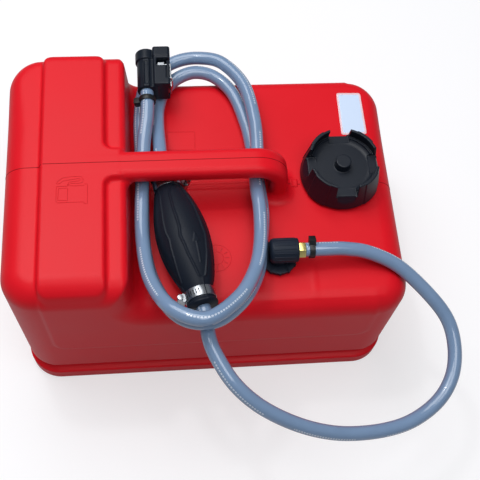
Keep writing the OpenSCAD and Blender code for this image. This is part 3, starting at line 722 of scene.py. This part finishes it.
CAP_SPAN = [(-40.4, 0.52), (40.4, 0.52)]
CAP_GRID = (CAP_SPAN, CAP_SPAN, [(165, 0.8), (179, 0.52), (198.4, 0.52)])
field_piece("filler_cap_moulded", cap_field, CAP_GRID, CAP_BLACK, "filler_cap", "cap",
            shift=(*NECK, 0))

# %% [markdown]
# ## Small moulded and turned pieces
# The frame already has the true shape of the fittings, but with edges that are too sharp to catch
# light. A copy of each is welded, its flat triangles are dissolved into faces, and every edge gets
# a small bevel, which is what a mould or a lathe leaves.

# %% Softened copies of CAD pieces
def softened(node, bevel_mm, material, body="tank"):
    """A copy of a CAD node with bevelled edges and its own finish. It stands for the node."""
    mesh = frame["nodes"][node].data.copy()
    mesh.name = node + "_softened"
    work = bmesh.new()
    work.from_mesh(mesh)
    bmesh.ops.remove_doubles(work, verts=work.verts, dist=0.004 * MM)
    bmesh.ops.dissolve_limit(work, angle_limit=radians(1.5), verts=work.verts,
                             edges=work.edges)
    crisp = [e for e in work.edges
             if len(e.link_faces) == 2 and e.calc_face_angle() > radians(32)]
    if bevel_mm:
        bmesh.ops.bevel(work, geom=crisp, offset=bevel_mm * MM, segments=2, profile=0.6,
                        affect="EDGES", clamp_overlap=True)
    bmesh.ops.recalc_face_normals(work, faces=work.faces)
    work.to_mesh(mesh)
    work.free()
    mesh.materials.clear()
    mesh.materials.append(material)
    mesh.shade_smooth()
    mesh.set_sharp_from_angle(angle=radians(38))
    thing = in_scene(node + "_softened", mesh)
    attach(thing, body)
    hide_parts(node)
    return thing


softened("pickup_nut", 0.35, BLACK_NYLON)
softened("pickup_elbow", 0.3, BLACK_NYLON)
softened("hose_barb", 0.3, BRASS)
softened("pickup_gasket", 0.2, SEAL_RUBBER)
softened("cap_gasket", 0.3, SEAL_RUBBER, "seal")
barb_tie = softened("barb_tie", 0.35, TIE_NYLON)
connector_tie = softened("connector_tie", 0.35, TIE_NYLON)
latch = softened("latch", 0.2, CLAMP_STEEL, "latch")
clamp_screws = softened("clamp_screws", 0.25, CLAMP_STEEL)


# %% Springs with meshes of their own
def closing_spring(node, body):
    """A softened copy of a spring, with a mesh of its own."""
    spring = softened(node, 0, CLAMP_STEEL, body)
    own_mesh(spring)
    return spring


closing_spring("vent_spring", "cap")
valve_spring = closing_spring("valve_spring", "tank")

# %% Finishes of the CAD pieces that stay
for finish, names in ((BLACK_NYLON, ("strainer", "pickup_tube", "vent_retainer", "vent_poppet",
                                     "bulb_inlet", "bulb_outlet", "socket_valve", "socket_plug")),
                      (CLAMP_STEEL, ("inlet_ball", "outlet_ball", "latch_pin", "latch_spring")),
                      (SEAL_RUBBER, ("socket_seal",))):
    for node_name in names:
        for slot_of_node in frame["nodes"][node_name].material_slots:
            slot_of_node.material = finish
    print(finish.name, "on", len(names), "inner pieces")

# %% [markdown]
# ## Primer bulb
# The bulb is moulded rubber: a swelling body between two plain necks. A long panel with a raised
# rim is repeated four times round it, and the top one has a flow arrow. It is lofted: rings of
# points along the axis whose radius is a formula.

# %% Bulb axes
BULB_X, BULB_UP = axes_of(BULB_DIR)[:2]
BULB_D, BULB_NECK_D, NECK_LEN = 46.5, 26.0, 16.0
PANEL_TURN = 20.0


def bulb_radius(s):
    """Radius of the plain bulb at s from its lower end."""
    t = np.clip((s - NECK_LEN) / (BULB_LEN - 2 * NECK_LEN), 0, 1)
    swell = np.sin(pi * t) ** 0.9
    return BULB_NECK_D / 2 + (BULB_D - BULB_NECK_D) / 2 * swell


def panel_edge(s, side):
    """Distance inside the long panel's edge, in millimetres, negative outside."""
    half = np.interp(s, [21, 22.5, 27, 43, 61, 69, 90, 108, 118, 121],
                     [0.0, 3.0, 4.6, 9.3, 12.6, 11.4, 11.0, 8.6, 5.0, 0.0])
    return half - np.abs(side)


def arrow(s, side):
    """Distance inside a flow arrow that points at the engine's end."""
    shaft = np.minimum(0.8 - np.abs(side), np.minimum(s - 34, 54 - s))
    head = np.minimum((62 - s) * 0.36 - np.abs(side) * 0.93, s - 53)
    return np.maximum(shaft, head)


def primer_bulb():
    """The lofted bulb: s runs along its axis and a round it."""
    rings, spokes = 300, 252
    s, a = np.meshgrid(np.linspace(0, BULB_LEN, rings),
                       np.arange(spokes) * 2 * pi / spokes, indexing="ij")
    r = bulb_radius(s)
    quarter = (a - radians(90 + PANEL_TURN) + pi / 4) % (pi / 2) - pi / 4
    side = quarter * r
    edge = panel_edge(s, side)
    r = r + 0.75 * ramp(0.75 - np.abs(edge), 1.0) - 0.35 * ramp(edge - 1.1, 0.9)
    on_top = np.abs((a - radians(90 + PANEL_TURN) + pi) % (2 * pi) - pi) < 0.6
    r = r + np.where(on_top, 0.6 * ramp(arrow(s, side - 0.6), 0.6), 0)
    # a bead and a groove on both neck ends
    for bead in (2.0, 134.0):
        r = r + 0.9 * ramp(1.2 - np.abs(s - bead), 1.2)
    for groove in (4.6, 131.4):
        r = r - 0.5 * ramp(0.7 - np.abs(s - groove), 0.8)
    r = np.where((s < 0.7) | (s > BULB_LEN - 0.7), r - 0.7, r)
    points = (BULB_LOW + s[..., None] * BULB_DIR
              + (r * np.cos(a))[..., None] * BULB_X + (r * np.sin(a))[..., None] * BULB_UP)
    tube = tube_faces(rings, spokes)
    faces = [(a, d, c, b) for a, b, c, d in tube[:-2]] + [end[::-1] for end in tube[-2:]]
    bulb = piece_from("primer_bulb_rubber", points.reshape(-1, 3), faces, BULB_RUBBER)
    tidy(bulb)
    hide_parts("primer_bulb")
    return bulb


bulb = primer_bulb()

# %% [markdown]
# ## Worm clamps
# Each clamp is a thin stainless band with a row of punched slots that the worm's thread bites in.
# What repeats is made with Geometry Nodes: one small plate is instanced round a circle. The tree is
# built here once and used for every ring of equal marks on the object.

# %% A ring of equal marks
def ring_tree():
    """Geometry Nodes: blocks of one size at equal angles round Z."""
    tree = bpy.data.node_groups.new("ring_of_marks", "GeometryNodeTree")
    tree.interface.new_socket("Geometry", in_out="OUTPUT", socket_type="NodeSocketGeometry")
    for title, kind in (("Count", "NodeSocketInt"), ("Radius", "NodeSocketFloat"),
                        ("Block", "NodeSocketVector"), ("Height", "NodeSocketFloat"),
                        ("Finish", "NodeSocketMaterial")):
        tree.interface.new_socket(title, in_out="INPUT", socket_type=kind)
    given = add_node(tree, "NodeGroupInput").outputs
    circle = add_node(tree, "GeometryNodeMeshCircle", {"Vertices": given["Count"],
                                                       "Radius": given["Radius"]})
    block = add_node(tree, "GeometryNodeMeshCube", {"Size": given["Block"]})
    outward = add_node(tree, "GeometryNodeInputPosition")
    facing = add_node(tree, "FunctionNodeAlignRotationToVector", {"Vector": outward.outputs[0]},
                      axis="X", pivot_axis="Z")
    marks = add_node(tree, "GeometryNodeInstanceOnPoints",
                     {"Points": circle.outputs[0], "Instance": block.outputs[0],
                      "Rotation": facing.outputs[0]})
    rise = add_node(tree, "ShaderNodeCombineXYZ", {"Z": given["Height"]})
    lifted = add_node(tree, "GeometryNodeTranslateInstances",
                      {"Instances": marks.outputs[0], "Translation": rise.outputs[0]})
    real = add_node(tree, "GeometryNodeRealizeInstances", {0: lifted.outputs[0]})
    dressed = add_node(tree, "GeometryNodeSetMaterial", {"Geometry": real.outputs[0],
                                                         "Material": given["Finish"]})
    add_node(tree, "NodeGroupOutput", {0: dressed.outputs[0]})
    return tree


RING = ring_tree()


def ring_of_marks(name, count, radius, block, height, finish, place, axis, keep=None):
    """Equal blocks in a ring, as a plain mesh. A block is (out, across, along) in millimetres."""
    holder = in_scene(name, bpy.data.meshes.new(name))
    modifier = holder.modifiers.new("ring", "NODES")
    modifier.node_group = RING
    values = {"Count": count, "Radius": radius * MM, "Block": [b * MM for b in block],
              "Height": height * MM, "Finish": finish}
    for item in RING.interface.items_tree:
        if item.name in values:
            modifier[item.identifier] = values[item.name]
    ready = holder.evaluated_get(bpy.context.evaluated_depsgraph_get())
    mesh = bpy.data.meshes.new_from_object(ready)
    holder.modifiers.remove(modifier)
    turn_to = Matrix(axes_of(axis).T.tolist()).to_4x4()
    mesh.transform(Matrix.Translation([v * MM for v in place]) @ turn_to)
    if keep:
        work = bmesh.new()
        work.from_mesh(mesh)
        far = [v for v in work.verts if not keep(v.co / MM)]
        bmesh.ops.delete(work, geom=far, context="VERTS")
        work.to_mesh(mesh)
        work.free()
    holder.data = mesh
    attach(holder, "tank")
    print(name, "has", len(mesh.polygons) // 6, "marks")
    return holder


# %% Clamps
CLAMP_W, CLAMP_STARTS, CLAMP_TURNS = 9.0, (6.0, BULB_LEN - 15.0), (185, 15)
BAND_IN, BAND_OUT = BULB_NECK_D / 2 + 0.02, BULB_NECK_D / 2 + 0.62


def worm_housing(name, middle, out):
    """The pressed steel housing over the worm: an arched box across the band."""
    tall, wide = 5.6, 8.0
    along = np.cross(BULB_DIR, out)
    outline = rounded_profile([(-4.4, 0), (4.4, 0), (3.4, tall), (-3.4, tall)], 2.2, 5)
    points = [middle + out * (BULB_NECK_D / 2 + 0.3 + v) + BULB_DIR * u * 0.93 + along * e
              for e in (-wide / 2, wide / 2) for u, v in outline]
    housing = piece_from(name, points, tube_faces(2, len(outline)), CLAMP_STEEL)
    tidy(housing)
    housing.data.set_sharp_from_angle(angle=radians(35))
    return housing


def worm_clamps():
    """Each clamp's band, its housing and the slots on the far side of the band."""
    made = []
    for i, (start, degrees) in enumerate(zip(CLAMP_STARTS, CLAMP_TURNS)):
        place, turn_by = BULB_LOW + BULB_DIR * start, radians(degrees)
        out = cos(turn_by) * -BULB_X + sin(turn_by) * -BULB_UP
        profile = rounded_profile([(BAND_IN, 0), (BAND_OUT, 0), (BAND_OUT, CLAMP_W),
                                   (BAND_IN, CLAMP_W)], 0.2, 2)
        band = lathe_piece("clamp_band_%d" % i, profile, place, BULB_DIR, CLAMP_STEEL)
        housing = worm_housing("clamp_housing_%d" % i, place + BULB_DIR * CLAMP_W / 2, out)
        slots = ring_of_marks("clamp_slots_%d" % i, 34, BAND_OUT, (0.12, 0.9, 4.4), CLAMP_W / 2,
                              SEAL_RUBBER, place, BULB_DIR,
                              keep=lambda p, c=place, o=out: (np.array(p) - c) @ o > 1.0)
        made += [band, housing, slots]
    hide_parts("clamp_bands")
    return made


clamps = worm_clamps()

# %% [markdown]
# ## Fuel connector
# The connector is a two-chamber moulding: a round lobe for the fuel with a wide head, and a square
# latch box beside it with a window. Its steel latch shows in the window and along the right side.

# %% Connector field
CONN = np.array([-53.0, 115.0, 193.0])
CONN_HALF, LOBE_R, HEAD_R, HEAD_Y, HEAD_HALF = 22.0, 9.0, 10.5, 16.5, 5.5
BOX_X, BOX_HALF, BOX_H, BOX_HEAD = -38.25, 7.75, 13.0, 0.7
FUEL_R, PIN_R, NOSE_R = 4.75, 4.0, 2.9


def connector_field(x, y, z):
    """The housing, less what the latch and the engine's fitting need."""
    u, v, w = x - CONN[0], y - CONN[1], z - CONN[2]
    r = np.hypot(u, w)
    beside = x - BOX_X
    ends, head_ends = slab(v, 0, CONN_HALF), slab(v, HEAD_Y, HEAD_HALF)
    lobe = common(r - LOBE_R, ends, 0.8)
    head = common(r - HEAD_R, head_ends, 0.8)
    # a grooved bar along the top of the lobe
    bar = common(common(slab(u, 0, 3.0), w - 10.2, 0.8), slab(v, -6, 16), 0.6)
    bar = cut(meet(bar, -w), meet(slab(u, 0, 1.9), slab(v, -6, 13.5), 9.3 - w), 0.3)
    # the latch box beside it, and the web between them
    box = common(common(slab(beside, 0, BOX_HALF), slab(w, 0, BOX_H), 1.8), ends, 1.0)
    box_head = common(slab(beside, 0, BOX_HALF + BOX_HEAD), slab(w, 0, BOX_H + BOX_HEAD), 2.6)
    box_head = common(box_head, head_ends, 1.0)
    web = meet(slab(w, 0, 8.0), slab(u, 5, 6), ends)
    body = join(join(lobe, web, 0.8), np.minimum(head, bar), 0.6)
    body = join(body, np.minimum(box, box_head), 0.8)
    # the window, the latch's slot, the relief for its thumb end and the shoulder over that
    body = cut(body, meet(slab(beside, 0, 4.8), slab(v, 4.3, 4.4), -w), 0.5)
    body = cut(body, meet(slab(beside, 1, 7.8), slab(v, 6.3, 2.5), slab(w, 0, 8.0)), 0.2)
    body = cut(body, meet(-32.1 - x, slab(v, -6.75, 16.25), slab(w, 0, 7.0)), 0.3)
    body = cut(body, meet(-33.8 - x, slab(v, -3, 11.5), 8.5 - w), 0.6)
    # the sockets for the fuel fitting and the pin, and the way of the pin's nose
    from_pin = np.hypot(beside, w)
    sockets = np.minimum(meet(r - FUEL_R, 6 - v), meet(from_pin - PIN_R, 8.8 - v))
    return cut(body, np.minimum(sockets, meet(from_pin - NOSE_R, -4 - v)), 0.3)


CONN_GRID = ([(-65, 0.55), (-28, 0.55)], [(91, 0.6), (139, 0.6)], [(178, 0.55), (208.5, 0.55)])
connector = field_piece("fuel_connector_body", connector_field, CONN_GRID, BLACK_ABS,
                        "connector_body")


# %% Latch tab
# The latch plate's bent-over top, the bright square in the window, is one strip of sheet.
STRIP = [(5.4, 5.5), (5.4, 9.6), (5.0, 10.1), (0.8, 10.1), (0.8, 9.4), (4.8, 9.4), (4.7, 9.3),
         (4.7, 5.5)]
tab_points = [(BOX_X + u, CONN[1] + v, CONN[2] + w) for u in (-3.4, 2.4) for v, w in STRIP]
tab = piece_from("latch_tab", tab_points, tube_faces(2, len(STRIP)), CLAMP_STEEL, "latch",
                 smooth=False)
tidy(tab)
print("latch tab:", len(tab.data.polygons), "faces")

# %% [markdown]
# ## Marks on the shell
# The mould leaves a parting line, a round date stamp and a few raised outlines, and a blank white
# label is stuck on the deck. Each mark is set on the shell by moving its points down onto the
# field's zero level, so that it follows the surface exactly.

# %% Laying things on the shell
def on_shell(points):
    """Points moved along the field's slope onto the shell, and the normals there."""
    p = settle(tank_field, points, rounds=12, h=0.2)
    slope = slope_of(tank_field, p, 0.2)
    return p, slope / norm(slope, axis=1)[:, None]


def dense(corners, step, closed):
    """Points a step apart along straight runs between corners."""
    ends = list(corners) + ([corners[0]] if closed else [])
    out = []
    for a, b in zip(ends, ends[1:]):
        a, b = np.array(a, float), np.array(b, float)
        count = max(1, int(norm(b - a) / step))
        out += [a + (b - a) * k / count for k in range(count)]
    return np.array(out if closed else out + [np.array(ends[-1], float)])


def raised_line(name, corners, width, height, finish, closed=False, step=2.0):
    """A low ridge that follows the shell along straight runs between corners."""
    path, normal = on_shell(dense(corners, step, closed))
    n = len(path)
    rows = []
    for i in range(n):
        ahead = path[(i + 1) % n if closed else min(i + 1, n - 1)]
        ahead = ahead - path[(i - 1) % n if closed else max(i - 1, 0)]
        ahead /= norm(ahead)
        side = np.cross(normal[i], ahead)
        side /= norm(side)
        rows += [path[i] + side * width * a + normal[i] * height * b
                 for a, b in ((-0.5, -1.0), (-0.28, 1.0), (0.28, 1.0), (0.5, -1.0))]
    line = piece_from(name, rows, tube_faces(n, 4, closed), finish)
    tidy(line)


# %% Parting line
SEAM_Y = 2.6
SEAMS = {"left": [(-183, 36), (-183, 187), (-176, 203), (-161, 209), (-152, 209), (-146, 215),
                  (44, 215), (60, 209), (70, 200), (75.2, 184), (75.2, 176), (80, 166), (90, 163)],
         "right": [(168, 162), (178, 155), (183, 141), (183, 36)]}
# The ridges' darker red is painted shade along the seam.
for end, corners in SEAMS.items():
    raised_line("parting_line_" + end, [(x, SEAM_Y, z) for x, z in corners], 0.9, 0.22, SEAM_PAINTED_SHADE_RED)


# %% Raised outlines
# The marks' slightly darker red is painted shade along their ridges.
STAMP = (5.4, -71.9)
for name, radius, width in (("date_ring_outer", 13.2, 0.7), ("date_ring_inner", 6.2, 0.6)):
    circle = [(STAMP[0] + radius * cos(a), STAMP[1] + radius * sin(a), DECK)
              for a in angles(72)]
    raised_line(name, circle, width, 0.18, MARK_PAINTED_SHADE_RED, closed=True)
ring_of_marks("date_ticks", 12, 9.6, (3.6, 0.7, 0.7), 0, MARK_PAINTED_SHADE_RED, (*STAMP, DECK), (0, 0, 1))
# the common fuel pump sign on the band, lying on its side, as raised outlines
PUMP_SIGN = {
    "pump_case": ([(-133.8, -35.5), (-133.8, -20.9), (-123.8, -20.6), (-122.9, -18.6),
                   (-121.7, -20.6), (-110.3, -20.6), (-109.8, -18.9), (-107, -19.4), (-106.8, -38),
                   (-107.6, -38.9), (-109.5, -38.2), (-110.2, -36.8), (-132.2, -37)], True),
    "pump_window": ([(-132, -22.8), (-124, -22.8), (-124, -35), (-132.3, -34.7)], True),
    "pump_hose_outer": ([(-132.4, -18.6), (-133.7, -17.8), (-132.3, -15.2), (-128.6, -12.3),
                         (-120.8, -11.2), (-112.4, -11.3), (-110.5, -14.6), (-111.4, -17.5),
                         (-114.4, -18.3), (-121.6, -18)], False),
    "pump_hose_inner": ([(-131.9, -18.4), (-127.6, -15.3), (-120.8, -14.3), (-114.5, -13.3),
                         (-113.1, -14.4), (-113.9, -15.8), (-122.8, -16.6), (-124.2, -19.6)],
                        False)}
for part, (corners, closed) in PUMP_SIGN.items():
    raised_line(part, [(x, y, BAND) for x, y in corners], 0.75, 0.22, MARK_PAINTED_SHADE_RED, closed, step=1.2)
DECK_FRAME = [(-35.3, 66.2, DECK), (-8, 65.5, DECK), (-8.9, 44.6, DECK), (-36, 45.5, DECK)]
raised_line("deck_frame", DECK_FRAME, 0.8, 0.2, MARK_PAINTED_SHADE_RED, closed=True)
print("a stamp, a frame and a sign of", len(PUMP_SIGN), "lines")


# %% Lug and label
def laid_plate(name, corners, corner_r, thick, finish, cells=14):
    """A thin plate with round corners, laid on the shell between four corners over the deck."""
    a, b, c, d = [np.array((*p, DECK), float) for p in corners]
    wide, long = norm(b - a), norm(d - a)
    outline = rounded_profile([(0, 0), (wide, 0), (wide, long), (0, long)], corner_r, 5)
    centre = np.mean(outline, axis=0)
    rings = [centre + (np.array(outline) - centre) * k / cells for k in range(1, cells + 1)]
    flat = np.concatenate([[centre]] + rings)
    u, v = (flat / (wide, long)).T[..., None]
    surface, normal = on_shell((1 - v) * ((1 - u) * a + u * b) + v * ((1 - u) * d + u * c))
    n, count = len(outline), len(flat)
    inset = np.ones(count)
    inset[-n:] = 0.3
    points = np.concatenate([surface + normal * (thick * inset)[:, None], surface - normal * 0.3])
    faces = [(0, 1 + (j + 1) % n, 1 + j) for j in range(n)]
    faces += [tuple(1 + i for i in f) for f in tube_faces(cells, n)[:-2]]
    bottom = [tuple(count + i for i in reversed(f)) for f in faces]
    over, under = count - n, 2 * count - n
    rim = [(over + j, over + (j + 1) % n, under + (j + 1) % n, under + j) for j in range(n)]
    plate_piece = piece_from(name, points, faces + bottom + rim, finish)
    tidy(plate_piece)


laid_plate("moulded_lug", [(79.5, -0.5), (88, -0.5), (88, 8.5), (79.5, 8.5)], 1.6, 0.9, RED_HDPE,
           cells=6)
laid_plate("label_border", [(137.8, 57.0), (163.7, 57.3), (163.4, 107.1), (138.6, 107.8)], 3.0,
           0.12, STICKER_EDGE)
laid_plate("label", [(139.3, 58.5), (162.2, 58.8), (161.9, 105.6), (140.1, 106.3)], 2.0, 0.2,
           STICKER)
